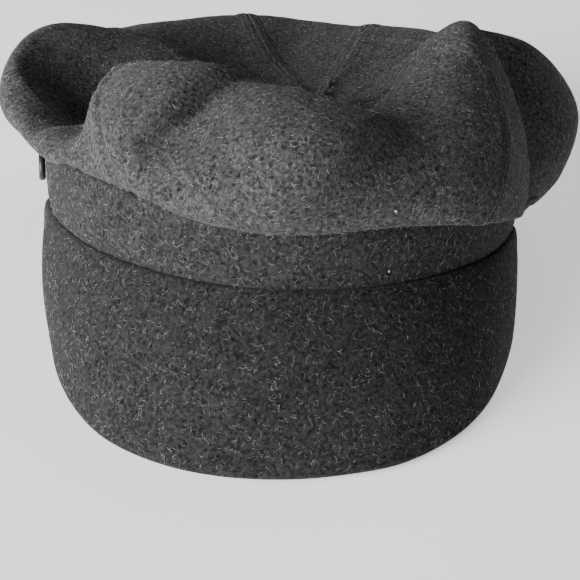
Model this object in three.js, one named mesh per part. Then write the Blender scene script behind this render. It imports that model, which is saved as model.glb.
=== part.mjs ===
import * as THREE from 'three';

// A worn felt work cap lying on its brim edge and on the back of its headband.
// All sizes are in millimetres, angles in degrees. The brim points to -Y and +Z is up.
// The shape is worked out in the cap's own frame: the lower edge of the headband is
// its floor, angle 0 is the middle of the forehead and +90 is the wearer's left side.

const bandHalfWidth = 86;
const bandHalfLength = 102;
const bandHeight = 24;
const bandWall = 3;
const crownWall = 2;
const brimWall = 3;
const pieceGap = 0.3;

// How the cap lies: the forehead is raised and one side is a little higher.
const foreheadTilt = 12;
const sideRoll = 3;
const flatBelow = 1.4;
const freeAbove = 5;

// Gives each row of a table the names of its columns.
function named(columns, rows) {
  return rows.map((row) => Object.fromEntries(columns.map((name, i) => [name, row[i]])));
}

// The crown's panels meet here, sunk inside the ring of folds.
const crownCentre = { x: 10, y: 10, height: 28 };
const centreHole = 1.5;
const panelNames = ['crown_back_left', 'crown_front_left', 'crown_front', 'crown_front_right',
  'crown_back_right', 'crown_back'];

// The angle of each panel's first seam low on the crown, at its crest and near the middle.
// A level of 3 is the hang, 4 the belly, 5 the shoulder, 6 the crest and 7 the slope.
const seamRows = named(['low', 'crest', 'middle'], [
  [-169, -169, -180],
  [-119, -119, -119],
  [-37, -46, -46],
  [41, 50, 50],
  [98, 98, 98],
  [157, 156.5, 156],
]);
const seamLevels = { low: 4.3, crest: 6, middle: 8 };

// One row per section of the crown, from the back round by the left ear, the forehead and
// the right side. foot is where the section leaves the headband, angle where it folds over.
// The section goes up past hang, belly, shoulder and crest, then down slope to the centre.
// Each of those is [reach from the upright middle line, height above the cap's floor].
const crownSections = named(['angle', 'foot', 'hang', 'belly', 'shoulder', 'crest', 'slope'], [
  [-180, -180, [103.5, 28], [108, 35], [105.5, 44], [93, 50.5], [60, 38]],
  [-162, -162, [101, 28], [106.5, 35], [103, 43.5], [92, 49.5], [56, 37]],
  [-142, -143, [96.5, 27.5], [104, 33], [100.5, 41.5], [86, 47], [50, 37]],
  [-120, -122, [92, 27], [102, 31], [100, 41], [76, 53], [52, 47]],
  [-102, -104, [90, 25.5], [100, 29], [101.5, 41], [90, 55], [62, 46]],
  [-90, -91, [89, 23.5], [98.5, 28.5], [103, 39], [97, 49], [70, 39]],
  [-81, -80, [90, 22], [98, 29], [101, 36.5], [96, 42.5], [74, 35]],
  [-73, -69, [91.5, 21], [96, 29], [96, 34], [89, 35.5], [68, 32.5]],
  [-64, -58, [92.5, 21], [94.5, 27.5], [87, 31.5], [78, 33], [56, 31.5]],
  [-54, -46, [94, 26], [90, 32], [77, 41], [66, 48], [44, 42]],
  [-46, -36, [96, 28], [93, 35], [85.5, 46], [74, 54], [48, 46]],
  [-32, -26, [101.5, 27], [104, 34], [98, 46], [78, 58.5], [46, 45]],
  [-16, -13, [104.5, 22], [107.5, 29.5], [102, 43.5], [78, 60], [42, 43]],
  [0, 0, [105, 20.5], [108, 28.5], [103, 43], [80, 55.5], [40, 38.5]],
  [18, 15, [104, 21.5], [107, 29.5], [101, 42], [71, 46], [38, 34]],
  [34, 27, [103, 21], [106, 27.5], [101, 42], [76, 56], [40, 43]],
  [50, 38, [98.5, 16.5], [99.5, 26], [91, 44], [71, 66.5], [46, 51]],
  [60, 52, [96, 13.5], [95, 26], [86, 48], [66, 70], [42, 52]],
  [69, 65, [95, 13], [95.5, 26], [84, 46], [66, 64.5], [42, 48]],
  [82, 80, [96.5, 15.5], [103, 28], [103, 42], [80, 59], [46, 44]],
  [98, 98, [97, 17.5], [107, 28.5], [107, 39], [86, 53.5], [50, 39]],
  [118, 118, [97, 22.5], [106, 29], [103, 40], [87, 49.5], [50, 37]],
  [140, 140, [98, 27], [105, 33], [101, 42], [88, 48.5], [54, 36]],
  [162, 162, [101, 28], [106.5, 35], [103.5, 43.5], [92, 49.5], [58, 37]],
]);

// How a section leaves the band and how it runs into the sunken centre. Shares are parts
// of the way from the foot's angle or reach to the section's own.
const footStraight = 0.8;
const liftHeight = 3;
const liftReachShare = 0.25;
const hangTurnShare = 0.2;
const bellyTurnShare = 0.5;
const dishReachShare = 0.4;
const dishHeightShare = 0.22;

// Softer folds that run across the sections, from one angle and level to another. A dent
// goes in and a ridge has a depth below 0. below and above are its widths towards the
// lower and the higher angles.
const foldRows = named(['angle', 'level', 'toAngle', 'toLevel', 'depth', 'below', 'above'], [
  [-9, 6.3, -28, 4.5, 7, 5, 15],
  [18, 5.8, -6, 4, -7, 20, 9],
  [176, 5.9, 178, 7.2, 2.5, 9, 9],
  [154, 6, 152, 7.6, -1.6, 5, 5],
  [22, 6.3, 42, 6.9, 3, 7, 7],
  [27, 7.1, 39, 6.5, 2.5, 3.5, 3.5],
]);
const foldSteps = 8;
const foldEndShare = 0.08;
const foldsFromLevel = 2.5;
const foldsWholeLevel = 4.2;
const foldSideAngle = 2;

// The brim's free edge, from its left end round the front to its right end, in the place
// where the cap lies. at is the angle on the headband that the row is sewn to.
const brimRows = named(['at', 'x', 'y', 'z'], [
  [-75, -82.9, -29.5, 25.5],
  [-70, -82.3, -37.5, 17.5],
  [-65, -82.3, -46, 9],
  [-59, -81, -56, 2.4],
  [-51, -76.8, -71, 1.5],
  [-42, -71, -88, 1.5],
  [-34, -63, -103.5, 1.5],
  [-26, -52, -116, 1.5],
  [-17, -35.5, -126, 1.5],
  [-8, -18, -131, 1.5],
  [1, 1, -132.4, 1.5],
  [10, 19, -130.5, 1.5],
  [18, 36, -126, 1.5],
  [27, 51.5, -116, 1.5],
  [35, 63, -102.5, 1.5],
  [43, 71, -86, 1.5],
  [51, 77, -68, 1.5],
  [57, 79.8, -53, 1.8],
  [62, 81, -43, 5],
  [66, 81.4, -38.5, 12],
  [70, 81.6, -36, 18.5],
]);
const brimBulge = 3;
const brimFullDepth = 40;
const brimThinEnd = 0.5;
const brimEndCrowding = 0.1;
const sewnInset = 0.5;
const sewnInsetOutside = -0.7;
const sewnInsetInside = 2.6;
const edgeFlatBelow = 2.8;
const edgeFreeAbove = 6.6;

const buttonRadius = 5;
const buttonWall = 2.4;
const buttonAngle = -79;
const buttonHeight = 10.5;
const buttonSides = 20;

// Small steps used to find which way a surface faces, and how far a seam's gap reaches.
const angleStep = 0.6;
const levelStep = 0.04;
const seamStep = 0.5;

// How finely each piece is divided. The crown's rows lie close together over its folds.
const panelColumns = [11, 20, 24, 13, 11, 7];
const rowLevels = [0, 1, 2, 2.5, 3, 3.35, 3.7, 4, 4.3, 4.65, 5, 5.25, 5.5, 5.75, 6, 6.25, 6.5,
  6.75, 7, 7.35, 7.7, 8, 8.4, 8.75, 9];
const lastLevel = 9;
const bandColumns = 80;
const bandRows = [0, 0.35, 0.7, 1];
const brimColumns = 38;
const brimSteps = 6;

const feltRoughness = 0.95;
const bandGrey = 0x2f2f2f;
const brimGrey = 0x303030;
const crownGrey = 0x333333;
const buttonGrey = 0x1c1c1c;
const buttonRoughness = 0.5;

function polar(angle, reach, height) {
  const turn = THREE.MathUtils.degToRad(angle);
  return new THREE.Vector3(reach * Math.sin(turn), -reach * Math.cos(turn), height);
}

function wrapped(angle) {
  return THREE.MathUtils.euclideanModulo(angle + 180, 360) - 180;
}

// The headband is an ellipse seen from above. inset moves inwards from its outer face.
function bandReach(angle, inset) {
  const turn = THREE.MathUtils.degToRad(angle);
  const across = Math.sin(turn) / (bandHalfWidth - inset);
  const along = Math.cos(turn) / (bandHalfLength - inset);
  return 1 / Math.hypot(across, along);
}

// Turns a place in the cap's own frame into its place on the surface it lies on.
const lie = new THREE.Matrix4().makeRotationX(-THREE.MathUtils.degToRad(foreheadTilt))
  .premultiply(new THREE.Matrix4().makeRotationY(THREE.MathUtils.degToRad(sideRoll)));

function lowestOfBand() {
  let lowest = Infinity;
  for (let angle = 0; angle < 360; angle += 1) {
    const place = polar(angle, bandReach(angle, 0), 0).applyMatrix4(lie);
    lowest = Math.min(lowest, place.z);
  }
  return lowest;
}
const bandLowest = lowestOfBand();

function laid(place) {
  const moved = place.clone().applyMatrix4(lie);
  moved.z -= bandLowest;
  return moved;
}

// Smooth blend of table rows over their key, with slopes taken from the neighbours.
// With a period the rows go round, and the first two values grow by it on each turn.
function blendRows(keys, values, key, period) {
  const count = keys.length;
  const inside = (i) => (period ? (i + count) % count : Math.min(Math.max(i, 0), count - 1));
  const turns = (i) => (period ? Math.floor(i / count) * period : 0);
  const keyAt = (i) => keys[inside(i)] + turns(i);
  const valueAt = (i, column) => values[inside(i)][column] + (column < 2 ? turns(i) : 0);
  const slopeAt = (i, column) => {
    const span = keyAt(i + 1) - keyAt(i - 1);
    return span > 0 ? (valueAt(i + 1, column) - valueAt(i - 1, column)) / span : 0;
  };
  let low = 0;
  while (low < count - 1 && keys[low + 1] <= key) {
    low += 1;
  }
  if (!period) {
    low = Math.min(low, count - 2);
  }
  const width = keyAt(low + 1) - keyAt(low);
  const s = (key - keyAt(low)) / width;
  const s2 = s * s;
  const s3 = s2 * s;
  return values[0].map((unused, column) => valueAt(low, column) * (2 * s3 - 3 * s2 + 1)
    + slopeAt(low, column) * width * (s3 - 2 * s2 + s)
    + valueAt(low + 1, column) * (3 * s2 - 2 * s3)
    + slopeAt(low + 1, column) * width * (s3 - s2));
}

const sectionKeys = crownSections.map((row) => row.angle);
const sectionValues = crownSections.map((row) => Object.values(row).flat());

function sectionAt(angle) {
  const values = blendRows(sectionKeys, sectionValues, wrapped(angle), 360);
  const section = {};
  Object.keys(crownSections[0]).forEach((name, i) => {
    const pair = 2 * i - 2;
    section[name] = i < 2 ? values[i] : { reach: values[pair], height: values[pair + 1] };
  });
  return section;
}

// The line of one section, from the top of the headband over the folds to the centre.
function crownCurve(angle) {
  const { angle: fold, foot, hang, belly, shoulder, crest, slope } = sectionAt(angle);
  const rootReach = bandReach(foot, bandWall / 2);
  const rootHeight = bandHeight + pieceGap;
  const turnedBy = (share) => THREE.MathUtils.lerp(foot, fold, share);
  const liftReach = THREE.MathUtils.lerp(rootReach, hang.reach, liftReachShare);
  const slopeEnd = polar(fold, slope.reach, slope.height);
  const centre = new THREE.Vector3(crownCentre.x, crownCentre.y, crownCentre.height);
  const spoke = slopeEnd.clone().sub(centre).setZ(0);
  const dish = centre.clone().addScaledVector(spoke, dishReachShare);
  dish.z = THREE.MathUtils.lerp(centre.z, slopeEnd.z, dishHeightShare);
  const rim = centre.clone().addScaledVector(spoke, centreHole / spoke.length());
  return new THREE.CatmullRomCurve3([
    polar(foot, rootReach, rootHeight),
    polar(foot, rootReach, rootHeight + footStraight),
    polar(foot, liftReach, rootHeight + liftHeight),
    polar(turnedBy(hangTurnShare), hang.reach, hang.height),
    polar(turnedBy(bellyTurnShare), belly.reach, belly.height),
    polar(fold, shoulder.reach, shoulder.height),
    polar(fold, crest.reach, crest.height),
    slopeEnd,
    dish,
    rim,
  ], false, 'centripetal');
}

const curveCache = new Map();
function sectionPoint(angle, level) {
  const key = angle.toFixed(5);
  if (!curveCache.has(key)) {
    curveCache.set(key, crownCurve(angle));
  }
  return curveCache.get(key).getPoint(level / lastLevel);
}

function outwardAt(pointOf, angle, level) {
  const along = pointOf(angle + angleStep, level).sub(pointOf(angle - angleStep, level));
  const above = pointOf(angle, Math.min(level + levelStep, lastLevel));
  const up = above.sub(pointOf(angle, Math.max(level - levelStep, 0)));
  return new THREE.Vector3().crossVectors(along, up).normalize();
}

const foldPaths = foldRows.map((row) => Array.from({ length: foldSteps + 1 }, (unused, i) => {
  const share = i / foldSteps;
  return sectionPoint(THREE.MathUtils.lerp(row.angle, row.toAngle, share),
    THREE.MathUtils.lerp(row.level, row.toLevel, share));
}));

// How deep the folds are at a point: deepest on a fold's line, fading to its two ends.
function foldDepth(point, angle) {
  let sum = 0;
  foldRows.forEach((row, k) => {
    let nearest = Infinity;
    let share = 0;
    for (let i = 0; i < foldSteps; i += 1) {
      const line = new THREE.Line3(foldPaths[k][i], foldPaths[k][i + 1]);
      const s = line.closestPointToPointParameter(point, true);
      const gap = line.at(s, new THREE.Vector3()).distanceTo(point);
      if (gap < nearest) {
        nearest = gap;
        share = (i + s) / foldSteps;
      }
    }
    const fade = Math.sin(Math.PI * THREE.MathUtils.lerp(foldEndShare, 1 - foldEndShare, share));
    const aside = wrapped(angle - THREE.MathUtils.lerp(row.angle, row.toAngle, share));
    const side = THREE.MathUtils.smoothstep(aside, -foldSideAngle, foldSideAngle);
    const width = THREE.MathUtils.lerp(row.below, row.above, side);
    sum += row.depth * fade * Math.exp(-((nearest / width) ** 2));
  });
  return sum;
}

function crownMiddle(angle, level) {
  const point = sectionPoint(angle, level);
  if (level > foldsFromLevel) {
    const grown = THREE.MathUtils.smoothstep(level, foldsFromLevel, foldsWholeLevel);
    const depth = foldDepth(point, angle) * grown;
    point.addScaledVector(outwardAt(sectionPoint, angle, level), -depth);
  }
  return point;
}

function crownSides(angle, level) {
  const middle = crownMiddle(angle, level);
  const out = level === 0
    ? new THREE.Vector3(middle.x, middle.y, 0).normalize()
    : outwardAt(crownMiddle, angle, level);
  return {
    outer: laid(middle.clone().addScaledVector(out, crownWall / 2)),
    inner: laid(middle.clone().addScaledVector(out, -crownWall / 2)),
  };
}

// Sews an outer and an inner grid of points into one closed solid.
function shellSolid(outer, inner, closedAround) {
  const columns = outer.length;
  const rows = outer[0].length;
  const position = [];
  for (const grid of [outer, inner]) {
    for (const column of grid) {
      for (const point of column) {
        position.push(point.x, point.y, point.z);
      }
    }
  }
  const outerAt = (i, j) => (i % columns) * rows + j;
  const innerAt = (i, j) => columns * rows + (i % columns) * rows + j;
  const index = [];
  const quad = (a, b, c, d) => {
    index.push(a, b, c, a, c, d);
  };
  const top = rows - 1;
  const spans = closedAround ? columns : columns - 1;
  for (let i = 0; i < spans; i += 1) {
    for (let j = 0; j < top; j += 1) {
      quad(outerAt(i, j), outerAt(i + 1, j), outerAt(i + 1, j + 1), outerAt(i, j + 1));
      quad(innerAt(i, j), innerAt(i, j + 1), innerAt(i + 1, j + 1), innerAt(i + 1, j));
    }
    quad(outerAt(i, 0), innerAt(i, 0), innerAt(i + 1, 0), outerAt(i + 1, 0));
    quad(outerAt(i, top), outerAt(i + 1, top), innerAt(i + 1, top), innerAt(i, top));
  }
  if (!closedAround) {
    const end = columns - 1;
    for (let j = 0; j < top; j += 1) {
      quad(outerAt(0, j), outerAt(0, j + 1), innerAt(0, j + 1), innerAt(0, j));
      quad(outerAt(end, j), innerAt(end, j), innerAt(end, j + 1), outerAt(end, j + 1));
    }
  }
  const geometry = new THREE.BufferGeometry();
  geometry.setAttribute('position', new THREE.Float32BufferAttribute(position, 3));
  geometry.setIndex(index);
  geometry.computeVertexNormals();
  return geometry;
}

function seamAngle(seam, level) {
  const toCrest = THREE.MathUtils.smoothstep(level, seamLevels.low, seamLevels.crest);
  const toMiddle = THREE.MathUtils.smoothstep(level, seamLevels.crest, seamLevels.middle);
  return seam.low + (seam.crest - seam.low) * toCrest + (seam.middle - seam.crest) * toMiddle;
}

// One panel of the crown. Its two side seams stay half a gap short of the seam lines.
function seamShift(angle, level, side) {
  const seam = crownMiddle(angle, level);
  const beside = crownMiddle(angle + side * seamStep, level);
  return side * seamStep * (pieceGap / 2) / seam.distanceTo(beside);
}

function crownPanel(from, to, turn, columns) {
  const outer = [];
  const inner = [];
  for (let i = 0; i <= columns; i += 1) {
    const side = (i === 0 ? 1 : 0) - (i === columns ? 1 : 0);
    const sides = rowLevels.map((level) => {
      const end = seamAngle(to, level) + turn;
      const angle = THREE.MathUtils.lerp(seamAngle(from, level), end, i / columns);
      return crownSides(side === 0 ? angle : angle + seamShift(angle, level, side), level);
    });
    outer.push(sides.map((both) => both.outer));
    inner.push(sides.map((both) => both.inner));
  }
  return shellSolid(outer, inner, false);
}

// The felt of the band spreads flat where it bears on the surface.
function bandSolid() {
  const outer = [];
  const inner = [];
  for (let i = 0; i < bandColumns; i += 1) {
    const angle = -180 + 360 * i / bandColumns;
    for (const [grid, inset] of [[outer, 0], [inner, bandWall]]) {
      const foot = laid(polar(angle, bandReach(angle, inset), 0));
      const head = laid(polar(angle, bandReach(angle, inset), bandHeight));
      foot.z *= THREE.MathUtils.smoothstep(foot.z, flatBelow, freeAbove);
      grid.push(bandRows.map((level) => foot.clone().lerp(head, level)));
    }
  }
  return shellSolid(outer, inner, true);
}

// The brim's edge bears flat on the surface along its front.
function settleEdge(point) {
  point.z *= THREE.MathUtils.smoothstep(point.z, edgeFlatBelow, edgeFreeAbove);
}

const brimKeys = brimRows.map((row) => row.at);
const brimPlaces = brimRows.map((row) => [row.x, row.y, row.z]);

// One strip of the brim runs from where it is sewn, s 0, to its free edge, s 1.
function brimStrip(at) {
  const edge = new THREE.Vector3(...blendRows(brimKeys, brimPlaces, at, 0));
  const sewn = laid(polar(at, bandReach(at, sewnInset), -pieceGap - brimWall / 2));
  const chord = edge.clone().sub(sewn);
  const depth = chord.length();
  chord.normalize();
  const outward = polar(at, 1, 0).applyMatrix4(lie);
  outward.addScaledVector(chord, -outward.dot(chord)).normalize();
  return { sewn, edge, depth, outward };
}

function brimSolid() {
  const outer = [];
  const inner = [];
  const first = brimKeys[0];
  const last = brimKeys[brimKeys.length - 1];
  for (let i = 0; i <= brimColumns; i += 1) {
    const even = i / brimColumns;
    const crowded = even - brimEndCrowding * Math.sin(2 * Math.PI * even);
    const at = THREE.MathUtils.lerp(first, last, crowded);
    const { sewn, edge, depth, outward } = brimStrip(at);
    const half = brimWall / 2 * Math.min(1, brimThinEnd + depth / brimFullDepth);
    const arch = brimBulge * Math.min(1, depth / brimFullDepth);
    const outerColumn = [];
    const innerColumn = [];
    for (let j = 0; j < brimSteps; j += 1) {
      const s = 1 - j / brimSteps;
      const middle = sewn.clone().lerp(edge, s).addScaledVector(outward, arch * 4 * s * (1 - s));
      outerColumn.push(middle.clone().addScaledVector(outward, half));
      innerColumn.push(middle.clone().addScaledVector(outward, -half));
    }
    settleEdge(outerColumn[0]);
    settleEdge(innerColumn[0]);
    outerColumn.push(laid(polar(at, bandReach(at, sewnInsetOutside), -pieceGap)));
    innerColumn.push(laid(polar(at, bandReach(at, sewnInsetInside), -pieceGap)));
    outer.push(outerColumn);
    inner.push(innerColumn);
  }
  return shellSolid(outer, inner, false);
}

function buttonSolid() {
  const profile = [
    new THREE.Vector2(0, 0),
    new THREE.Vector2(buttonRadius * 0.86, 0),
    new THREE.Vector2(buttonRadius, buttonWall * 0.3),
    new THREE.Vector2(buttonRadius, buttonWall * 0.65),
    new THREE.Vector2(buttonRadius * 0.84, buttonWall),
    new THREE.Vector2(buttonRadius * 0.66, buttonWall * 0.8),
    new THREE.Vector2(0, buttonWall * 0.74),
  ];
  const geometry = new THREE.LatheGeometry(profile, buttonSides);
  const outward = polar(buttonAngle, 1, 0);
  const aim = new THREE.Quaternion().setFromUnitVectors(new THREE.Vector3(0, 1, 0), outward);
  const seat = polar(buttonAngle, bandReach(buttonAngle, 0) + pieceGap, buttonHeight);
  geometry.applyQuaternion(aim);
  geometry.translate(seat.x, seat.y, seat.z);
  geometry.applyMatrix4(lie);
  geometry.translate(0, 0, -bandLowest);
  return geometry;
}

const group = new THREE.Group();
group.name = 'worn_work_cap';

function addPiece(name, geometry, color, roughness) {
  const material = new THREE.MeshStandardMaterial({ color, roughness, metalness: 0 });
  const mesh = new THREE.Mesh(geometry, material);
  mesh.name = name;
  group.add(mesh);
}

addPiece('band', bandSolid(), bandGrey, feltRoughness);
addPiece('brim', brimSolid(), brimGrey, feltRoughness);
panelNames.forEach((name, i) => {
  const last = i + 1 === seamRows.length;
  const from = seamRows[i];
  const to = last ? seamRows[0] : seamRows[i + 1];
  addPiece(name, crownPanel(from, to, last ? 360 : 0, panelColumns[i]), crownGrey, feltRoughness);
});
addPiece('side_button', buttonSolid(), buttonGrey, buttonRoughness);

// The origin is the middle of the cap's outline on the surface it lies on.
const box = new THREE.Box3().setFromObject(group);
for (const mesh of group.children) {
  mesh.geometry.translate(-(box.min.x + box.max.x) / 2, -(box.min.y + box.max.y) / 2, -box.min.z);
}

export default group;
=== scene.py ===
import bpy
import bmesh
import math
import numpy as np
from mathutils import Matrix, Vector, noise


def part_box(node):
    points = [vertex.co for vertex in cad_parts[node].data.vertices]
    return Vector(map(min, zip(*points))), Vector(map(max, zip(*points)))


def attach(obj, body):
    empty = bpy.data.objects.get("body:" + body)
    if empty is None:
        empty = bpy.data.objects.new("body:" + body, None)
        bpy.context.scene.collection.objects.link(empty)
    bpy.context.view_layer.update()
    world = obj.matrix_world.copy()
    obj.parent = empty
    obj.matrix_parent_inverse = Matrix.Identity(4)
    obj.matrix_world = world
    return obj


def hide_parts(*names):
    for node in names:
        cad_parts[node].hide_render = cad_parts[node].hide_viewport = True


# A worn felt work cap lying on its brim edge and on the back of its headband.
# Shapes are worked out in millimetres in the cap's own frame, where the headband's lower edge
# is the floor and angle 0 is the middle of the forehead, and then laid on the surface.

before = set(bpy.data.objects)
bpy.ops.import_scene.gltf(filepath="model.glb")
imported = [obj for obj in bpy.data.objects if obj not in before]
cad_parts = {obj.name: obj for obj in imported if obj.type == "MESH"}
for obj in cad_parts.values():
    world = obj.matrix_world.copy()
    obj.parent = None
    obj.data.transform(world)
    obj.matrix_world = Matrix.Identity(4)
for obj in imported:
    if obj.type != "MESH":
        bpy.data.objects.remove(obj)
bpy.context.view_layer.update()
print("frame loaded:", ", ".join(sorted(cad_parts)))

metresPerMillimetre = 0.001
weldGap = 0.00001        # metres


# The way the cap lies

poseValues = {
    "foreheadTilt": 12,  # degrees, forehead up
    "sideRoll": 3,       # degrees, wearer's right side up
}

bandValues = {
    "halfWidth": 86,
    "halfLength": 102,
    "height": 24,
    "wall": 3,
    "columns": 420,
    "faceRows": 26,
    "flatBelow": 1.4,    # the felt spreads flat where its height above the surface is less
    "freeAbove": 5,
    "bulge": 0.7,        # how far the soft face stands out between its two edges
    "waves": 0.35,       # height and size of its unevenness
    "waveSize": 22,
    "waveSeed": 3,
}


def smoothStep(value, low, high):
    share = np.clip((value - low) / (high - low), 0, 1)
    return share * share * (3 - 2 * share)


def polar(angle, reach, height):
    turn = np.radians(angle)
    return np.stack(np.broadcast_arrays(reach * np.sin(turn), -reach * np.cos(turn), height), -1)


def bandReach(angle, inset):
    turn = np.radians(angle)
    across = np.sin(turn) / (bandValues["halfWidth"] - inset)
    along = np.cos(turn) / (bandValues["halfLength"] - inset)
    return 1 / np.hypot(across, along)


def turnAbout(points):
    tilt = math.radians(-poseValues["foreheadTilt"])
    roll = math.radians(poseValues["sideRoll"])
    x, y, z = points[..., 0], points[..., 1], points[..., 2]
    y, z = y * math.cos(tilt) - z * math.sin(tilt), y * math.sin(tilt) + z * math.cos(tilt)
    x, z = x * math.cos(roll) + z * math.sin(roll), z * math.cos(roll) - x * math.sin(roll)
    return np.stack([x, y, z], -1)


allRound = np.arange(0, 360, 0.5)
bandFoot = turnAbout(polar(allRound, bandReach(allRound, 0), 0.0))
bandHead = turnAbout(polar(allRound, bandReach(allRound, 0), float(bandValues["height"])))
bandEnds = np.concatenate([bandFoot, bandHead])
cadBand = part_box("band")
cadMiddle = [(cadBand[0][k] + cadBand[1][k]) / 2 / metresPerMillimetre for k in (0, 1)]
bandMiddle = [(bandEnds[:, k].min() + bandEnds[:, k].max()) / 2 for k in (0, 1)]
placeShift = np.array([
    cadMiddle[0] - bandMiddle[0], cadMiddle[1] - bandMiddle[1], -bandFoot[:, 2].min(),
])


def laid(points):
    return turnAbout(points) + placeShift


# Smooth blend of table rows over their key. With a period the rows go round, and the first
# two values, which are angles, grow by it on each turn.
def blendRows(keys, rows, at, period=None):
    keys = np.array(keys, float)
    rows = np.array(rows, float)
    if period:
        before, after = rows[-2:].copy(), rows[:2].copy()
        before[:, :2] -= period
        after[:, :2] += period
        keys = np.concatenate([keys[-2:] - period, keys, keys[:2] + period])
        rows = np.concatenate([before, rows, after])
    last = len(keys) - 1
    ahead = np.minimum(np.arange(last + 1) + 1, last)
    behind = np.maximum(np.arange(last + 1) - 1, 0)
    lean = (rows[ahead] - rows[behind]) / (keys[ahead] - keys[behind])[:, None]
    low = np.clip(np.searchsorted(keys, at, side="right") - 1, 0, last - 1)
    width = keys[low + 1] - keys[low]
    s = ((at - keys[low]) / width)[:, None]
    width = width[:, None]
    return (rows[low] * (2 * s**3 - 3 * s**2 + 1) + lean[low] * width * (s**3 - 2 * s**2 + s)
            + rows[low + 1] * (3 * s**2 - 2 * s**3) + lean[low + 1] * width * (s**3 - s**2))


# Materials

def addNode(tree, kind, **inputs):
    node = tree.nodes.new(kind)
    for name, value in inputs.items():
        node.inputs[name].default_value = value
    return node


def addRamp(tree, source, low, high):
    ramp = tree.nodes.new("ShaderNodeValToRGB")
    tree.links.new(source, ramp.inputs["Fac"])
    for stop, (place, colour) in zip(ramp.color_ramp.elements, (low, high)):
        stop.position = place
        stop.color = colour
    return ramp.outputs["Color"]


def addMath(tree, operation, *terms):
    node = tree.nodes.new("ShaderNodeMath")
    node.operation = operation
    for socket, value in zip(node.inputs, terms):
        if isinstance(value, (int, float)):
            socket.default_value = value
        else:
            tree.links.new(value, socket)
    return node.outputs["Value"]


def addMix(tree, share, first, second):
    node = tree.nodes.new("ShaderNodeMix")
    node.data_type = "RGBA"
    for socket, value in ((node.inputs[0], share), (node.inputs[6], first), (node.inputs[7], second)):
        if isinstance(value, tuple):
            socket.default_value = value
        else:
            tree.links.new(value, socket)
    return node.outputs[2]


def addBump(tree, shader, height, strength, distance):
    bump = addNode(tree, "ShaderNodeBump", Strength=strength, Distance=distance)
    tree.links.new(height, bump.inputs["Height"])
    tree.links.new(bump.outputs["Normal"], shader.inputs["Normal"])


# A colour scaled by a painted shade factor.
def shaded(colour, shade):
    return tuple(part * shade for part in colour[:3]) + (1,)


def startMaterial(name, values):
    material = bpy.data.materials.new(name)
    material.use_nodes = True
    tree = material.node_tree
    shader = tree.nodes["Principled BSDF"]
    shader.inputs["Roughness"].default_value = values["roughness"]
    shader.inputs["Specular IOR Level"].default_value = values["specular"]
    place = tree.nodes.new("ShaderNodeTexCoord").outputs["Object"]
    return material, tree, shader, place


# A material of fine specks between a dark and a light colour, both darkened by any painted shade that is
# given.
def speckledMaterial(name, values, shade=1):
    material, tree, shader, place = startMaterial(name, values)
    speck = addNode(tree, "ShaderNodeTexNoise", Scale=values["speckScale"], Detail=values["speckDetail"])
    tree.links.new(place, speck.inputs["Vector"])
    low, high = values["speckStops"]
    colour = addRamp(tree, speck.outputs["Fac"], (low, shaded(values["dark"], shade)),
                     (high, shaded(values["light"], shade)))
    tree.links.new(colour, shader.inputs["Base Color"])
    if "bump" in values:
        addBump(tree, shader, speck.outputs["Fac"], values["bump"], values["bumpHeight"])
    return material


black, white = (0, 0, 0, 1), (1, 1, 1, 1)

feltValues = {
    "ground": (0.010, 0.010, 0.010, 1),
    "middle": (0.120, 0.120, 0.121, 1),
    "light": (0.30, 0.30, 0.302, 1),
    # painted shade: each piece gets its own copy of the felt, darkened by a factor, the headband's and the
    # brim's much darker than the crown's
    "paintedShades": {"crownFelt": 0.71, "bandFelt": 0.41, "brimFelt": 0.34},
    "roughness": 1.0,
    "specular": 0.08,
    "sheen": 0.05,
    "sheenRoughness": 0.5,
    # size, detail, roughness and distortion of the grain, the clouds, the fibres and their patches
    "noises": [
        (0.0012, 2.5, 0.65, 0), (0.007, 3.0, 0.6, 0), (0.0019, 1.5, 0.5, 1.2), (0.0019 / 2.2, 1.0, 0.5, 0),
    ],
    "grainStops": (0.3, 0.72),
    "cloudShare": 0.5,
    "fibreShare": 0.45,
    "fibreWidth": 0.035,       # as a share of the fibre noise's whole range
    "patchStops": (0.46, 0.6),
    "bump": 0.38,
    "pileHeight": 0.00022,
}


def feltMaterial(name):
    values = feltValues
    # the painted shade of this piece's copy of the felt
    shade = values["paintedShades"][name]
    material, tree, shader, place = startMaterial(name, values)
    shader.inputs["Sheen Weight"].default_value = values["sheen"]
    shader.inputs["Sheen Roughness"].default_value = values["sheenRoughness"]

    noises = []
    for size, detail, roughness, distortion in values["noises"]:
        noises.append(addNode(tree, "ShaderNodeTexNoise", Scale=1 / size, Detail=detail,
                              Roughness=roughness, Distortion=distortion))
        tree.links.new(place, noises[-1].inputs["Vector"])
    grain, cloud, fibre, patch = (node.outputs["Fac"] for node in noises)

    low, high = values["grainStops"]
    grey = addRamp(tree, grain, (low, black), (high, white))
    mottle = addMath(tree, "MULTIPLY_ADD", cloud, values["cloudShare"], -values["cloudShare"] / 2)
    depth = addMath(tree, "ADD", grey, mottle)

    # thin winding lines where the fibre noise crosses its middle, broken up by the patches
    middleGap = addMath(tree, "ABSOLUTE", addMath(tree, "SUBTRACT", fibre, 0.5))
    line = addRamp(tree, middleGap, (0.0, white), (values["fibreWidth"], black))
    low, high = values["patchStops"]
    shown = addRamp(tree, patch, (low, black), (high, white))
    strands = addMath(tree, "MULTIPLY", line, shown)

    base = addMix(tree, depth, shaded(values["ground"], shade), shaded(values["middle"], shade))
    strandShare = addMath(tree, "MULTIPLY", strands, values["fibreShare"])
    colour = addMix(tree, strandShare, base, shaded(values["light"], shade))
    tree.links.new(colour, shader.inputs["Base Color"])
    addBump(tree, shader, addMath(tree, "ADD", depth, strands), values["bump"], values["pileHeight"])
    return material


# three copies of one felt, the headband and brim copies darker by painted shade
crownFelt = feltMaterial("crownFelt")
bandFelt = feltMaterial("bandFelt")
brimFelt = feltMaterial("brimFelt")
print("felt materials made")


# Mesh making

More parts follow.
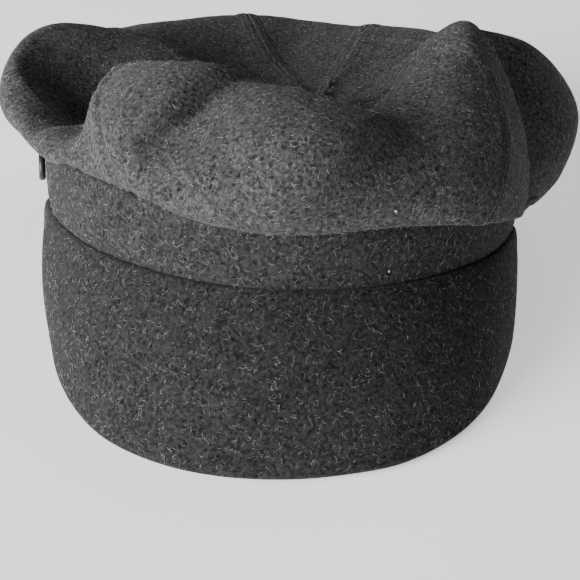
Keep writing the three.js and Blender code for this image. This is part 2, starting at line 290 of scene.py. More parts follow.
def addObject(name, mesh, material, slotName, *nodes):
    for face in mesh.polygons:
        face.use_smooth = True
    mesh.materials.append(material)
    piece = bpy.data.objects.new(name, mesh)
    bpy.context.scene.collection.objects.link(piece)
    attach(piece, "root")
    if nodes:
        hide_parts(*nodes)
    return piece


# A bmesh grid whose columns follow the first axis of the points and whose rows the second.
def gridMesh(name, points):
    columns, rows = points.shape[:2]
    bm = bmesh.new()
    bmesh.ops.create_grid(bm, x_segments=columns - 1, y_segments=rows - 1, size=1)
    places = points.transpose(1, 0, 2).reshape(-1, 3) * metresPerMillimetre
    for vert, place in zip(bm.verts, places):
        vert.co = place
    return bm


def finishMesh(bm, name, weld=None):
    if weld:
        bmesh.ops.remove_doubles(bm, verts=bm.verts, dist=weld)
    mesh = bpy.data.meshes.new(name)
    bm.to_mesh(mesh)
    bm.free()
    return mesh


# Half-round lip between the ends of a wall's two faces.
def lipPoints(first, second, away, steps):
    middle = (first + second) / 2
    half = (first - second) / 2
    reach = away / np.linalg.norm(away, axis=-1, keepdims=True)
    reach = reach * np.linalg.norm(half, axis=-1, keepdims=True)
    turns = np.linspace(0, math.pi, steps + 1)[1:-1]
    return np.stack([middle + half * math.cos(t) + reach * math.sin(t) for t in turns], 1)


# A wall with a half-round lip at both ends, closed round its own section.
def wallSection(outer, inner, lipSteps=6):
    head = lipPoints(outer[:, -1], inner[:, -1], outer[:, -1] - outer[:, -2], lipSteps)
    foot = lipPoints(inner[:, 0], outer[:, 0], outer[:, 0] - outer[:, 1], lipSteps)
    return np.concatenate([outer, head, inner[:, ::-1], foot, outer[:, :1]], 1)


def noiseField(points, size, seed):
    shift = Vector((seed * 31.7, seed * 17.3, seed * 7.9))
    flat = points.reshape(-1, 3) / size
    return np.array([noise.noise(Vector(p) + shift) for p in flat]).reshape(points.shape[:-1])


# Headband

def buildBand():
    values = bandValues
    angles = np.linspace(-180, 180, values["columns"] + 1)
    share = np.linspace(0, 1, values["faceRows"])
    lip = values["wall"] / 2
    faces = []
    for inset, side in ((0, 1), (values["wall"], -1)):
        foot = laid(polar(angles, bandReach(angles, inset), 0.0))
        foot[:, 2] *= smoothStep(foot[:, 2], values["flatBelow"], values["freeAbove"])
        head = laid(polar(angles, bandReach(angles, inset), float(values["height"])))
        rise = head - foot
        length = np.linalg.norm(rise, axis=1, keepdims=True)
        start, end = foot + rise * lip / length, head - rise * lip / length
        face = start[:, None] + (end - start)[:, None] * share[None, :, None]
        out = turnAbout(polar(angles, 1.0, 0.0))[:, None]
        puff = values["bulge"] * 4 * share * (1 - share) if side > 0 else 0 * share
        face = face + out * puff[None, :, None]
        if side > 0:
            waves = values["waves"] * noiseField(face, values["waveSize"], values["waveSeed"])
            face = face + out * waves[..., None]
            face[-1] = face[0]
        faces.append(face)
    section = wallSection(faces[0], faces[1])
    section[..., 2] = np.maximum(section[..., 2], 0)
    bm = gridMesh("headband", section)
    return addObject("headband", finishMesh(bm, "headband", weldGap), bandFelt, "band_felt", "band")


headband = buildBand()
print("headband made:", len(headband.data.polygons), "faces")


# Brim

brimValues = {
    "wall": 3,
    "columns": 300,
    "faceRows": 84,
    "bulge": 3,
    "fullDepth": 40,
    "thinEnd": 0.5,
    "endCrowding": 0.1,
    "sewnInset": 0.5,
    "overlap": 0.9,        # how far its sewn edge reaches up between the headband's layers
    "edgeReach": 1.0,
    "tipShare": 0.02,      # share of its length over which each end thins to a tip
    "tipWall": 0.25,
    "waves": 0.4,
    "waveSize": 30,
    "waveSeed": 5,
    "edge": [  # at, x, y, z: the free edge from its left end round the front to its right end
        (-75, -82.9, -29.5, 25.5), (-70, -80.7, -37.5, 17.5), (-65, -80.8, -46, 9),
        (-59, -80.1, -56, 2.4), (-51, -76.2, -71, 1.5), (-42, -71, -88, 1.5),
        (-34, -63, -104, 1.5), (-26, -52, -117, 1.5), (-17, -35.5, -127.1, 1.5),
        (-8, -18, -132.4, 1.5), (1, 1, -133.8, 1.5), (10, 19, -131.8, 1.5),
        (18, 36, -127, 1.5), (27, 51.5, -116.5, 1.5), (35, 63, -102.6, 1.5),
        (43, 71, -86, 1.5), (51, 77, -68, 1.5), (57, 79.8, -53, 1.8),
        (62, 81, -43, 5), (66, 81.4, -38.5, 12), (70, 81.6, -36, 18.5),
    ],
}


def buildBrim():
    values = brimValues
    keys = [row[0] for row in values["edge"]]
    even = np.linspace(0, 1, values["columns"] + 1)
    crowded = even - values["endCrowding"] * np.sin(2 * np.pi * even)
    at = keys[0] + (keys[-1] - keys[0]) * crowded
    edge = blendRows(keys, [row[1:] for row in values["edge"]], at)
    edge = edge + np.array([placeShift[0], placeShift[1], 0])
    sewn = laid(polar(at, bandReach(at, values["sewnInset"]), values["overlap"]))
    chord = edge - sewn
    depth = np.linalg.norm(chord, axis=1)
    chord = chord / depth[:, None]
    out = turnAbout(polar(at, 1.0, 0.0))
    out = out - chord * (out * chord).sum(1, keepdims=True)
    out = out / np.linalg.norm(out, axis=1, keepdims=True)
    part = np.minimum(1, depth / values["fullDepth"])
    endFade = smoothStep(np.minimum(even, 1 - even), 0, values["tipShare"])
    half = values["wall"] / 2 * np.minimum(1, values["thinEnd"] + depth / values["fullDepth"])
    half = half * (values["tipWall"] + (1 - values["tipWall"]) * endFade)
    share = np.linspace(1 - (half - values["edgeReach"]) / depth, half / depth, values["faceRows"], axis=1)
    bulge = values["bulge"] * part[:, None] * 4 * share * (1 - share)
    out = out[:, None]
    middle = sewn[:, None] + (edge - sewn)[:, None] * share[..., None] + out * bulge[..., None]
    waves = values["waves"] * part[:, None] * noiseField(middle, values["waveSize"], values["waveSeed"])
    middle = middle + out * waves[..., None]
    outer = middle + out * half[:, None, None]
    inner = middle - out * half[:, None, None]
    section = wallSection(outer, inner)
    section[..., 2] = np.maximum(section[..., 2], 0)
    section[0] = section[0].mean(0)
    section[-1] = section[-1].mean(0)
    bm = gridMesh("feltBrim", section)
    return addObject("feltBrim", finishMesh(bm, "feltBrim", weldGap), brimFelt, "brim_felt", "brim")


feltBrim = buildBrim()
print("brim made:", len(feltBrim.data.polygons), "faces")


# Crown

crownValues = {
    "wall": 2,
    "gap": 0.3,             # between the crown and the headband
    "seamGap": 0.03,        # how far each panel's edge stands back from the seam
    "centre": (10, 10, 28),
    "centreHole": 0.3,
    # angle of each seam low on the crown, at its crest and near the middle
    "seams": [
        (-169, -169, -180), (-119, -119, -119), (-37, -46, -46),
        (41, 50, 50), (98, 98, 98), (157, 156.5, 156),
    ],
    "seamLevels": (4.3, 6, 8),
    "panels": [  # node, name, columns
        ("crown_back_left", "crownBackLeft", 110), ("crown_front_left", "crownFrontLeft", 170),
        ("crown_front", "crownFront", 200), ("crown_front_right", "crownFrontRight", 116),
        ("crown_back_right", "crownBackRight", 116), ("crown_back", "crownBack", 68),
    ],
    "rowsPerLevel": [1, 4, 10, 12, 16, 26, 34, 20, 12],
    "seamCrowding": 0.86,   # how much closer the mesh columns stand beside a seam
    "footStraight": 0.8,
    "liftHeight": 3,
    "liftReachShare": 0.25,
    "hangTurnShare": 0.2,
    "bellyTurnShare": 0.5,
    "dishReachShare": 0.4,
    "dishHeightShare": 0.22,
    # angle, foot, then reach and height of hang, belly, shoulder, crest and slope
    "sections": [
        (-180, -180, 103.5, 28, 108, 35, 105.5, 44, 93, 49.8, 60, 38),
        (-162, -162, 101, 28, 106.5, 35, 103, 43.5, 92, 49.8, 56, 37),
        (-142, -143, 96.5, 27.5, 104, 33, 100.5, 42, 86, 49, 50, 38),
        (-120, -122, 92, 27, 102, 31, 100, 41, 77, 50, 53, 46),
        (-102, -104, 90, 26, 100, 29, 101.5, 41, 91, 54.3, 63, 45),
        (-90, -91, 88.6, 24, 99.5, 28, 102, 38.5, 97.5, 48, 72, 35),
        (-81, -80, 89.2, 23, 99.5, 28.5, 101, 37.5, 96, 42.5, 75, 25),
        (-73, -69, 90.4, 22.8, 97, 29, 96, 34.5, 87, 33.5, 68, 20),
        (-64, -58, 92.3, 23.2, 94.5, 28, 86, 30, 75, 27, 55, 20),
        (-54, -46, 94.8, 26.3, 90, 32.5, 77, 42, 66, 48, 44, 38),
        (-46, -36, 96, 28, 93, 35, 85.5, 46, 74, 54, 48, 46),
        (-32, -26, 101.5, 27, 104, 34, 98, 46, 78, 58.5, 46, 45),
        (-16, -13, 104.5, 22, 107.5, 29.5, 102, 43.5, 78, 60, 42, 43),
        (0, 0, 105, 20.5, 108, 28.5, 103, 43, 80, 55.5, 40, 38.5),
        (18, 15, 105.5, 22.5, 108, 29.8, 101, 42, 71, 46, 38, 34),
        (34, 27, 106.5, 22.5, 108.3, 28, 101, 42, 76, 56, 40, 43),
        (50, 38, 102.5, 18.5, 102, 26.5, 91, 44, 71, 66.5, 46, 51),
        (60, 52, 98.5, 15, 97, 26, 86, 48, 66, 70.7, 42, 52),
        (69, 65, 95, 13, 95.5, 26, 84, 46, 67, 68, 42, 48),
        (82, 80, 98.5, 15, 103.5, 26.5, 101.5, 41.5, 80, 62, 46, 44),
        (98, 98, 99, 17, 106.5, 27, 105, 38.5, 86, 54.2, 50, 39),
        (118, 118, 97, 22.5, 106, 29, 103, 40, 87, 49.5, 50, 37),
        (140, 140, 98, 27, 105, 33, 101, 43, 88, 51.8, 54, 36),
        (162, 162, 101, 28, 106.5, 35, 103.5, 43.5, 92, 48.8, 58, 37),
    ],
    # angle and level of both ends, depth, and width to the lower and the higher angles
    "folds": [
        (-9, 6.3, -28, 4.5, 7, 5, 15),
        (18, 5.8, -6, 4, -7, 20, 9),
        (176, 5.9, 178, 7.2, 2.5, 9, 9),
        (154, 6, 152, 7.6, -1.6, 5, 5),
        (22, 6.3, 42, 6.9, 3, 7, 7),
        (27, 7.1, 39, 6.5, 2.5, 3.5, 3.5),
        (-62, 5.3, -52, 4.1, 6, 8, 3),
        (58, 3.2, 63, 5.7, 8, 2.8, 12),
    ],
    "foldSteps": 8,
    "foldEndShare": 0.08,
    "foldTurn": 2,             # degrees over which a fold's width changes from side to side
    # levels between which the folds, the soft unevenness and the seams fade in or out
    "foldLevels": (2.5, 4.2),
    "slackLevels": (1.5, 3),
    "seamStartLevels": (0.5, 2),
    "seamEndLevels": (8.6, 8.9),
}

seamValues = {
    "grooveDepth": 0.28,
    "grooveWidth": 0.45,
    "allowance": 3.6,      # the seam's turned-in edges lie under the felt this far to each side
    "allowanceRise": 0.7,
    "allowanceFade": (0.8, 1.4),
    "stitchOffset": 2.8,
    "stitchPitch": 2.6,
    "stitchLength": 1.8,
    "stitchRadius": 0.2,
    "stitchSink": 0.55,
    "stitchBite": 0.3,     # share of the sinking that comes and goes with each stitch
    "stitchLineWidth": 0.55,
    "pucker": 0.18,
    "puckerLength": 9,
    "puckerReach": 7,
    "narrowest": 19.6,     # no stitches show where a panel is narrower
}

slackValues = {
    "soft": (0.7, 26),     # height and size of the felt's soft unevenness
    "fine": (0.16, 6),
}


def crownKnots(angles):
    values = crownValues
    rows = values["sections"]
    section = blendRows([row[0] for row in rows], rows, angles, 360)
    fold, foot = section[:, 0], section[:, 1]
    hang, belly, shoulder, crest, slope = (section[:, k:k + 2] for k in range(2, 12, 2))
    rootReach = bandReach(foot, bandValues["wall"] / 2)
    rootHeight = bandValues["height"] + values["gap"]

    def turned(share):
        return foot + (fold - foot) * share

    lift = rootReach + (hang[:, 0] - rootReach) * values["liftReachShare"]
    slopeEnd = polar(fold, slope[:, 0], slope[:, 1])
    centre = np.array(values["centre"], float)
    spoke = (slopeEnd - centre) * np.array([1, 1, 0])
    dish = centre + spoke * values["dishReachShare"]
    dish[:, 2] = centre[2] + (slopeEnd[:, 2] - centre[2]) * values["dishHeightShare"]
    rim = centre + spoke * values["centreHole"] / np.linalg.norm(spoke, axis=1, keepdims=True)
    return np.stack([
        polar(foot, rootReach, rootHeight),
        polar(foot, rootReach, rootHeight + values["footStraight"]),
        polar(foot, lift, rootHeight + values["liftHeight"]),
        polar(turned(values["hangTurnShare"]), hang[:, 0], hang[:, 1]),
        polar(turned(values["bellyTurnShare"]), belly[:, 0], belly[:, 1]),
        polar(fold, shoulder[:, 0], shoulder[:, 1]),
        polar(fold, crest[:, 0], crest[:, 1]),
        slopeEnd,
        dish,
        rim,
    ], 1)


# The point of each angle's section at its own level, on a centripetal spline through the knots.
def sectionPoints(angles, levels):
    knots = crownKnots(angles.ravel())
    ends = [2 * knots[:, :1] - knots[:, 1:2], knots, 2 * knots[:, -1:] - knots[:, -2:-1]]
    knots = np.concatenate(ends, 1)
    level = levels.ravel()
    low = np.clip(np.floor(level).astype(int), 0, knots.shape[1] - 4)
    s = (level - low)[:, None]
    each = np.arange(len(level))
    p0, p1, p2, p3 = (knots[each, low + k] for k in range(4))
    d0, d1, d2 = (np.sqrt(np.linalg.norm(b - a, axis=-1, keepdims=True))
                  for a, b in ((p0, p1), (p1, p2), (p2, p3)))
    t1 = ((p1 - p0) / d0 - (p2 - p0) / (d0 + d1) + (p2 - p1) / d1) * d1
    t2 = ((p2 - p1) / d1 - (p3 - p1) / (d1 + d2) + (p3 - p2) / d2) * d1
    points = p1 + t1 * s + (-3 * p1 + 3 * p2 - 2 * t1 - t2) * s**2 + (2 * p1 - 2 * p2 + t1 + t2) * s**3
    return points.reshape(angles.shape + (3,))


def gridNormals(points):
    along = np.roll(points, -1, 0) - np.roll(points, 1, 0)
    up = np.gradient(points, axis=1)
    out = np.cross(along, up)
    return out / np.maximum(np.linalg.norm(out, axis=-1, keepdims=True), 1e-9)


def foldDepth(points, angles):
    values = crownValues
    total = np.zeros(points.shape[:-1])
    steps = np.linspace(0, 1, values["foldSteps"] + 1)
    for angle, level, toAngle, toLevel, depth, widthBelow, widthAbove in values["folds"]:
        path = sectionPoints(angle + (toAngle - angle) * steps, level + (toLevel - level) * steps)
        nearest = np.full(points.shape[:-1], np.inf)
        share = np.zeros(points.shape[:-1])
        for i, (start, end) in enumerate(zip(path, path[1:])):
            line = end - start
            s = np.clip(((points - start) @ line) / (line @ line), 0, 1)
            gap = np.linalg.norm(points - start - s[..., None] * line, axis=-1)
            closer = gap < nearest
            nearest = np.where(closer, gap, nearest)
            share = np.where(closer, (i + s) / values["foldSteps"], share)
        fade = np.sin(np.pi * (values["foldEndShare"] + share * (1 - 2 * values["foldEndShare"])))
        aside = (angles - angle - (toAngle - angle) * share + 180) % 360 - 180
        turn = smoothStep(aside, -values["foldTurn"], values["foldTurn"])
        width = widthBelow + (widthAbove - widthBelow) * turn
        total += depth * fade * np.exp(-(nearest / width) ** 2)
    return total


def crownSurface(angles, levels):
    points = sectionPoints(angles, levels)
    dent = foldDepth(points, angles) * smoothStep(levels, *crownValues["foldLevels"])
    return points - gridNormals(points) * dent[..., None]


def seamAngle(seam, levels):
    low, crest, middle = seam
    a, b, c = crownValues["seamLevels"]
    return low + (crest - low) * smoothStep(levels, a, b) + (middle - crest) * smoothStep(levels, b, c)


# Running length along the first axis, from its start.
def runLength(points):
    step = np.linalg.norm(np.diff(points, axis=0), axis=-1)
    return np.concatenate([np.zeros((1,) + step.shape[1:]), np.cumsum(step, 0)])


# How high the felt stands over a seam: a groove, the turned-in edges and the stitched line.
def seamHeight(gap, along, phase):
    values = seamValues
    before, after = values["allowanceFade"]
    flat = smoothStep(gap, values["allowance"] - before, values["allowance"] + after)
    height = values["allowanceRise"] * (1 - flat)
    height = height - values["grooveDepth"] * np.exp(-(gap / values["grooveWidth"]) ** 2)
    beat = np.cos(2 * np.pi * along / values["stitchPitch"])
    bite = 1 - values["stitchBite"] + values["stitchBite"] * beat
    line = np.exp(-((gap - values["stitchOffset"]) / values["stitchLineWidth"]) ** 2)
    height = height - values["stitchSink"] * line * bite
    ripple = np.sin(2 * np.pi * along / values["puckerLength"] + phase)
    return height + values["pucker"] * ripple * np.exp(-gap / values["puckerReach"])


# The line on a panel that keeps the stitches' distance from the edge that its length runs from,
# with the way that the felt faces along it.
def offsetLine(sheet, facing, run):
    offset = seamValues["stitchOffset"]
    rows = [row for row in range(sheet.shape[1]) if run[-1, row] > seamValues["narrowest"]]
    return [np.array([[np.interp(offset, run[:, row], field[:, row, k]) for k in range(3)] for row in rows])
            for field in (sheet, facing)]


stitchLines = []


def buildCrown():
    values = crownValues
    counts = values["rowsPerLevel"]
    levels = np.concatenate([np.linspace(k, k + 1, n, endpoint=False) for k, n in enumerate(counts)])
    levels = np.append(levels, len(counts))
    seams = [seamAngle(seam, levels) for seam in values["seams"]]
    seams.append(seams[0] + 360)
    angles, starts = [], []
    for (node, name, columns), start, end in zip(values["panels"], seams, seams[1:]):
        starts.append(sum(len(block) for block in angles))
        even = np.linspace(0, 1, columns, endpoint=False)
        share = even - values["seamCrowding"] * np.sin(2 * np.pi * even) / (2 * np.pi)
        angles.append(start + (end - start) * share[:, None])
    angles = (np.concatenate(angles) + 180) % 360 - 180
    surface = crownSurface(angles, np.broadcast_to(levels, angles.shape))
    height = sum(size * noiseField(surface, step, seed)
                 for seed, (size, step) in enumerate(slackValues.values()))
    free = smoothStep(levels, *values["slackLevels"])[None]
    surface = surface + gridNormals(surface) * (height * free)[..., None]
    out = gridNormals(surface)
    seamed = smoothStep(levels, *values["seamStartLevels"])
    seamed = seamed * (1 - smoothStep(levels, *values["seamEndLevels"]))
    pieces = []
    for k, (node, name, columns) in enumerate(values["panels"]):
        index = (starts[k] + np.arange(columns + 1)) % len(angles)
        sheet = surface[index]
        facing = out[index]
        fromStart = runLength(sheet)
        fromEnd = fromStart[-1] - fromStart
        atStart = seamHeight(fromStart, runLength(sheet[0]), k)
        atEnd = seamHeight(fromEnd, runLength(sheet[-1]), k + 1)
        rise = np.where(fromStart < fromEnd, atStart, atEnd) * seamed[None]
        sheet = sheet + facing * (rise + values["wall"] / 2)[..., None]
        stitchLines.append(offsetLine(sheet, facing, fromStart))
        stitchLines.append(offsetLine(sheet[::-1], facing[::-1], fromEnd[::-1]))
        for edge, beside in ((0, 1), (-1, -2)):
            inward = sheet[beside] - sheet[edge]
            inward = inward / np.maximum(np.linalg.norm(inward, axis=-1, keepdims=True), 1e-9)
            sheet[edge] += inward * values["seamGap"]
        bm = gridMesh(name, laid(sheet))
        piece = addObject(name, finishMesh(bm, name), crownFelt, "crown_felt", node)
        wall = piece.modifiers.new("wall", "SOLIDIFY")
        wall.thickness = values["wall"] * metresPerMillimetre
        wall.offset = -1
        pieces.append(piece)
    return pieces


crownPieces = buildCrown()
print("crown made:", sum(len(piece.data.polygons) for piece in crownPieces), "faces")


# Stitching beside the seams

threadValues = {
    "dark": (0.010, 0.010, 0.011, 1),
    "light": (0.04, 0.04, 0.042, 1),
    "speckScale": 1500.0,
    "speckDetail": 1.0,
    "speckStops": (0.4, 0.62),
    "roughness": 0.55,
    "specular": 0.5,
    "startLength": 9,      # the lowest stitches are hidden behind the overhang
    "seatShare": 0.5,      # how much of its radius each stitch stands up from the felt
}


def buildStitching():
    values = seamValues
    radius = values["stitchRadius"]
    half = values["stitchLength"] / 2
    toMetres = Matrix.Scale(metresPerMillimetre, 4)
    bm = bmesh.new()
    for points, normals in stitchLines:
        points = laid(points)
        normals = turnAbout(normals)
        along = np.concatenate([[0], np.cumsum(np.linalg.norm(np.diff(points, axis=0), axis=1))])

        def fieldAt(field, length):
            return Vector([np.interp(length, along, field[:, k]) for k in range(3)])

        for middle in np.arange(threadValues["startLength"], along[-1] - half, values["stitchPitch"]):
            start, end = fieldAt(points, middle - half), fieldAt(points, middle + half)
            run = (end - start).normalized()
            side = fieldAt(normals, middle).cross(run).normalized()
            up = run.cross(side)
            place = Matrix((run * half, side * radius, up * radius)).transposed().to_4x4()
            place.translation = (start + end) / 2 + up * radius * threadValues["seatShare"]
            bmesh.ops.create_icosphere(bm, subdivisions=1, radius=1, matrix=toMetres @ place)
    thread = speckledMaterial("sewingThread", threadValues)
    return addObject("seamStitching", finishMesh(bm, "seamStitching"), thread, "crown_felt")


seamStitching = buildStitching()
print("stitching made:", len(seamStitching.data.polygons), "faces")


# Side button

buttonValues = {
    "angle": -79,
    "height": 10.5,
    "radius": 5,
    "thickness": 2.4,
    "gap": 0.1,
    "sides": 48,
    # reach as a share of the radius, and rise as a share of the thickness, from its back
    "profile": [
        (0, 0), (0.86, 0), (1, 0.35), (1, 0.65), (0.928, 1), (0.82, 0.92),
        (0.72, 1.9 / 2.4), (0, 2.0 / 2.4),
    ],
    "dark": (0.014, 0.014, 0.015, 1),
    "light": (0.028, 0.028, 0.030, 1),
    "speckScale": 900.0,
    "speckDetail": 3.0,
    "speckStops": (0.4, 0.75),
    "bump": 0.15,
    "bumpHeight": 0.0001,
    "roughness": 0.42,
    "specular": 0.5,
}


def buildButton():
    values = buttonValues
    profile = [(reach * values["radius"], rise * values["thickness"]) for reach, rise in values["profile"]]
    bm = bmesh.new()
    verts = [bm.verts.new((reach, 0, rise)) for reach, rise in profile]
    edges = [bm.edges.new(pair) for pair in zip(verts, verts[1:])]
    bmesh.ops.spin(bm, geom=verts + edges, cent=(0, 0, 0), axis=(0, 0, 1), angle=2 * math.pi,
                   steps=values["sides"], use_merge=True)
    bmesh.ops.remove_doubles(bm, verts=bm.verts, dist=0.001)
    bmesh.ops.recalc_face_normals(bm, faces=bm.faces)
    out = polar(values["angle"], 1.0, 0.0)
    reach = bandReach(values["angle"], 0) + bandValues["bulge"] + values["gap"]
    seat = polar(values["angle"], reach, values["height"])
    up = np.array([0, 0, 1])
    side = np.cross(up, out)
    for vert in bm.verts:
        local = seat + side * vert.co.x + up * vert.co.y + out * vert.co.z
        vert.co = laid(local) * metresPerMillimetre
    plastic = speckledMaterial("buttonPlastic", values)
    return addObject("sideButton", finishMesh(bm, "sideButton"), plastic, "button", "side_button")


sideButton = buildButton()
print("side button made")


# Loose fibres that stand out of the felt

fibreValues = {
    "length": 0.0013,
    "radius": 0.000011,
    "lean": 0.35,
    "shortest": 0.45,
    "longest": 1.5,
    "sides": 3,
    "bends": 2,
    # start, middle and end of each kind of fibre, as shares of the length
    "kinds": [
        ((-0.5, 0.0, -0.02), (0.0, 0.3, 0.24), (0.5, -0.1, 0.04)),
        ((-0.5, 0.1, -0.02), (-0.1, -0.35, 0.16), (0.4, 0.2, 0.14)),
        ((-0.4, -0.1, -0.02), (0.3, -0.2, 0.1), (0.3, 0.45, 0.22)),
    ],
    "perSquareMetre": 230000,
    "crownSeed": 11,       # and one more for each further panel
    "bandSeed": 21,
    "brimSeed": 31,
    "dark": (0.05, 0.05, 0.05, 1),
    "light": (0.085, 0.085, 0.085, 1),
    # painted shade: darker copies of the wool for the crown, the headband and the brim, the brim's darkest
    "paintedShades": {"crownWool": 0.8, "bandWool": 0.5, "brimWool": 0.38},
    "speckScale": 420.0,
    "speckDetail": 1.0,
    "speckStops": (0.42, 0.66),
    "roughness": 0.8,
    "specular": 0.1,
}


# A node that draws a seeded value between two ends for each fibre, and the socket that gives it.
def randomValue(tree, kind, low, high, seed):
    first = {"FLOAT_VECTOR": 0, "FLOAT": 2, "INT": 4}[kind]
    node = tree.nodes.new("FunctionNodeRandomValue")
    node.data_type = kind
    node.inputs[first].default_value = low
    node.inputs[first + 1].default_value = high
    node.inputs["Seed"].default_value = seed
    return node.outputs[first // 2]


# Geometry nodes that scatter bent fibres over a sheet and leave only the fibres.
def fibreNodes(name, seed):
    values = fibreValues
    lean = values["lean"]
    tree = bpy.data.node_groups.new(name, "GeometryNodeTree")
    tree.interface.new_socket("Geometry", in_out="INPUT", socket_type="NodeSocketGeometry")
    tree.interface.new_socket("Geometry", in_out="OUTPUT", socket_type="NodeSocketGeometry")
    sheet = tree.nodes.new("NodeGroupInput")
    result = tree.nodes.new("NodeGroupOutput")
    scatter = addNode(tree, "GeometryNodeDistributePointsOnFaces",
                      Density=values["perSquareMetre"], Seed=seed)
    place = addNode(tree, "GeometryNodeInstanceOnPoints")
    place.inputs["Pick Instance"].default_value = True
    joined = tree.nodes.new("GeometryNodeJoinGeometry")
    ring = addNode(tree, "GeometryNodeCurvePrimitiveCircle",
                   Resolution=values["sides"], Radius=values["radius"])
    for start, middle, end in values["kinds"]:
        bend = addNode(tree, "GeometryNodeCurveQuadraticBezier", Resolution=values["bends"])
        for socket, share in (("Start", start), ("Middle", middle), ("End", end)):
            bend.inputs[socket].default_value = [part * values["length"] for part in share]
        tube = tree.nodes.new("GeometryNodeCurveToMesh")
        one = tree.nodes.new("GeometryNodeGeometryToInstance")
        tree.links.new(bend.outputs["Curve"], tube.inputs["Curve"])
        tree.links.new(ring.outputs["Curve"], tube.inputs["Profile Curve"])
        tree.links.new(tube.outputs["Mesh"], one.inputs["Geometry"])
        tree.links.new(one.outputs["Instances"], joined.inputs["Geometry"])
    turn = tree.nodes.new("FunctionNodeRotateRotation")
    turn.rotation_space = "LOCAL"
    spin = tree.nodes.new("FunctionNodeEulerToRotation")
    angles = randomValue(tree, "FLOAT_VECTOR", (-lean, -lean, 0), (lean, lean, 2 * math.pi), seed + 1)
    kind = randomValue(tree, "INT", 0, len(values["kinds"]) - 1, seed + 2)
    size = randomValue(tree, "FLOAT", values["shortest"], values["longest"], seed + 3)
    tree.links.new(angles, spin.inputs["Euler"])
    tree.links.new(scatter.outputs["Rotation"], turn.inputs["Rotation"])
    tree.links.new(spin.outputs["Rotation"], turn.inputs["Rotate By"])
    tree.links.new(sheet.outputs[0], scatter.inputs["Mesh"])
    tree.links.new(scatter.outputs["Points"], place.inputs["Points"])
    tree.links.new(joined.outputs["Geometry"], place.inputs["Instance"])
    tree.links.new(kind, place.inputs["Instance Index"])
    tree.links.new(turn.outputs["Rotation"], place.inputs["Rotation"])
    tree.links.new(size, place.inputs["Scale"])
    realize = tree.nodes.new("GeometryNodeRealizeInstances")
    tree.links.new(place.outputs["Instances"], realize.inputs["Geometry"])
    tree.links.new(realize.outputs["Geometry"], result.inputs[0])
    return tree


# One joined mesh of fibres over the outer felt of a piece. A piece that isn't a single sheet
# loses its inner side first.
def buildFibres(name, piece, slotName, seed, material):
    bm = bmesh.new()
    bm.from_mesh(piece.data)
    if not piece.modifiers:
        middle = Vector((placeShift[0], placeShift[1], 0)) * metresPerMillimetre
        hidden = [face for face in bm.faces if face.normal.dot(face.calc_center_median() - middle) < 0]
        bmesh.ops.delete(bm, geom=hidden, context="FACES")
    sheet = bpy.data.objects.new(name + "Sheet", finishMesh(bm, name + "Sheet"))
    bpy.context.scene.collection.objects.link(sheet)
    sheet.modifiers.new("fibres", "NODES").node_group = fibreNodes(name, seed)
    settled = sheet.evaluated_get(bpy.context.evaluated_depsgraph_get())
    mesh = bpy.data.meshes.new_from_object(settled)
    mesh.name = name
    bpy.data.objects.remove(sheet)
    print(name, "made:", len(mesh.polygons), "faces")
    return addObject(name, mesh, material, slotName)


# the wool in three copies darkened by painted shade
crownWool, bandWool, brimWool = (
    speckledMaterial(name, fibreValues, shade) for name, shade in fibreValues["paintedShades"].items())
for count, panel in enumerate(crownPieces):
    buildFibres(panel.name + "Fibres", panel, "crown_felt", fibreValues["crownSeed"] + count, crownWool)
buildFibres("headbandFibres", headband, "band_felt", fibreValues["bandSeed"], bandWool)
buildFibres("brimFibres", feltBrim, "brim_felt", fibreValues["brimSeed"], brimWool)


# Floor, light and camera

floorValues = {
    "size": 6.0,
    "colour": (0.92, 0.92, 0.92, 1),
    "roughness": 0.9,
    # painted light: the floor glows as well as reflecting, which evens out its shadows and lights the cap
    # from below
    "glow": 0.66,
}


def buildFloor():
    bm = bmesh.new()
    bmesh.ops.create_grid(bm, x_segments=1, y_segments=1, size=floorValues["size"] / 2)
    floor = bpy.data.objects.new("floor", finishMesh(bm, "floor"))
    bpy.context.scene.collection.objects.link(floor)
    material = bpy.data.materials.new("paleFloor")
    material.use_nodes = True
    shader = material.node_tree.nodes["Principled BSDF"]
    shader.inputs["Base Color"].default_value = floorValues["colour"]
    shader.inputs["Roughness"].default_value = floorValues["roughness"]
    # painted light: the floor glows white
    shader.inputs["Emission Color"].default_value = (1, 1, 1, 1)
    shader.inputs["Emission Strength"].default_value = floorValues["glow"]
    floor.data.materials.append(material)


# turn and rise in degrees from the front, reach and size in metres, power in watts
lightValues = {
    "window": {"turn": -58, "rise": 13, "reach": 1.5, "size": 1.1, "power": 84},
    "room": {"turn": 135, "rise": 50, "reach": 1.5, "size": 1.0, "power": 7},
    "world": 0.01,
}


def addLight(name, values):
    light = bpy.data.lights.new(name, "AREA")
    light.shape = "SQUARE"
    light.size = values["size"]
    light.energy = values["power"]
    lamp = bpy.data.objects.new(name, light)
    turn, rise = math.radians(values["turn"]), math.radians(values["rise"])
    place = Vector((math.sin(turn) * math.cos(rise), -math.cos(turn) * math.cos(rise), math.sin(rise)))
    lamp.location = place * values["reach"]
    lamp.rotation_euler = (-place).to_track_quat("-Z", "Y").to_euler()
    bpy.context.scene.collection.objects.link(lamp)


def buildLights():
    addLight("windowLight", lightValues["window"])
    addLight("roomLight", lightValues["room"])
    world = bpy.data.worlds.new("softRoom")
    world.use_nodes = True
    background = world.node_tree.nodes["Background"]
    background.inputs["Color"].default_value = (1, 1, 1, 1)
    background.inputs["Strength"].default_value = lightValues["world"]
    bpy.context.scene.world = world


cameraValues = {
    "place": (2.9, -381.3, 234.0),   # before the cap is centred, in millimetres
    "down": 34,
    "focalPixels": 1150,
    "imagePixels": 580,
    "sensorWidth": 36,
    "nearest": 0.01,
}


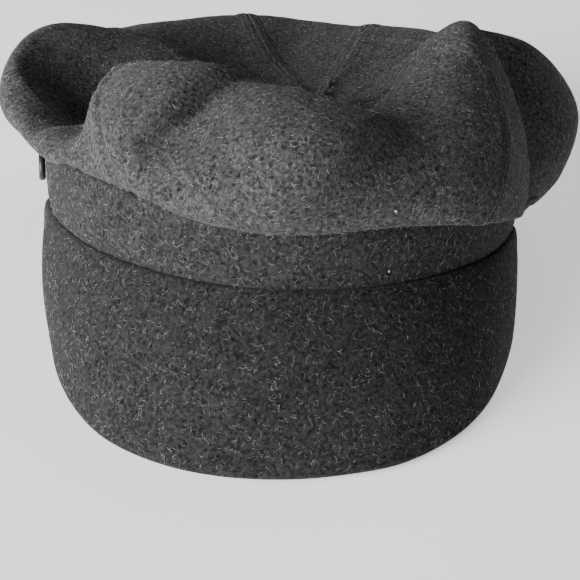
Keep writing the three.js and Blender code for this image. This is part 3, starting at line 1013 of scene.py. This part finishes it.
def buildCamera():
    values = cameraValues
    camera = bpy.data.cameras.new("photoCamera")
    camera.sensor_width = values["sensorWidth"]
    camera.lens = camera.sensor_width * values["focalPixels"] / values["imagePixels"]
    camera.clip_start = values["nearest"]
    camera.dof.use_dof = False
    eye = bpy.data.objects.new("photoCamera", camera)
    place = np.array(values["place"]) + placeShift * np.array([1, 1, 0])
    eye.location = place * metresPerMillimetre
    eye.rotation_euler = (math.radians(90 - values["down"]), 0, 0)
    bpy.context.scene.collection.objects.link(eye)
    bpy.context.scene.camera = eye


buildFloor()
buildLights()
buildCamera()
print("floor, lights and camera made")


# Lint caught on the felt

lintValues = {
    # column and row of the photo where each one shows, and its size
    "specks": [
        (396, 211, 1.2), (389, 271, 1.1), (516, 197, 1.1), (564, 138, 0.9), (501, 113, 0.8),
        (494, 116, 0.7), (478, 89, 0.7), (86, 235, 0.9), (90, 241, 0.8), (442, 92, 0.6),
    ],
    "sizeShares": (1 / 2, 1 / 3, 1 / 3),
    "liftShare": 0.1,
    "spinStep": 1.3,
    "dark": (0.12, 0.12, 0.12, 1),
    "light": (0.45, 0.45, 0.44, 1),
    "speckScale": 2500.0,
    "speckDetail": 1.0,
    "speckStops": (0.3, 0.65),
    "roughness": 0.8,
    "specular": 0.5,
}


# The point of the felt that a pixel of the photo shows, in millimetres, with the way it faces.
def feltAt(column, row):
    values = cameraValues
    down = math.radians(values["down"])
    middle = values["imagePixels"] / 2
    ahead = Vector((0, math.cos(down), -math.sin(down)))
    up = Vector((0, math.sin(down), math.cos(down)))
    ray = ahead * values["focalPixels"] + Vector((1, 0, 0)) * (column - middle) + up * (middle - row)
    eye = bpy.context.scene.camera.location
    nearest = None
    for piece in [headband, feltBrim] + crownPieces:
        hit, point, normal, index = piece.ray_cast(eye, ray.normalized())
        if hit and (nearest is None or (point - eye).length < nearest):
            nearest = (point - eye).length
            seen = (point / metresPerMillimetre, -normal if normal.dot(ray) > 0 else normal)
    return seen


def buildLint():
    values = lintValues
    toMetres = Matrix.Scale(metresPerMillimetre, 4)
    bm = bmesh.new()
    for count, (column, row, size) in enumerate(values["specks"]):
        point, normal = feltAt(column, row)
        turn = normal.to_track_quat("Z", "Y").to_matrix().to_4x4()
        spin = Matrix.Rotation(count * values["spinStep"], 4, "Z")
        shape = Matrix.Diagonal([size * share for share in values["sizeShares"]] + [1])
        place = Matrix.Translation(point + normal * size * values["liftShare"]) @ turn @ spin @ shape
        bmesh.ops.create_icosphere(bm, subdivisions=1, radius=1, matrix=toMetres @ place)
    lint = speckledMaterial("lint", values)
    return addObject("lintSpecks", finishMesh(bm, "lintSpecks"), lint, "crown_felt")


bpy.context.view_layer.update()
buildLint()
print("lint made")
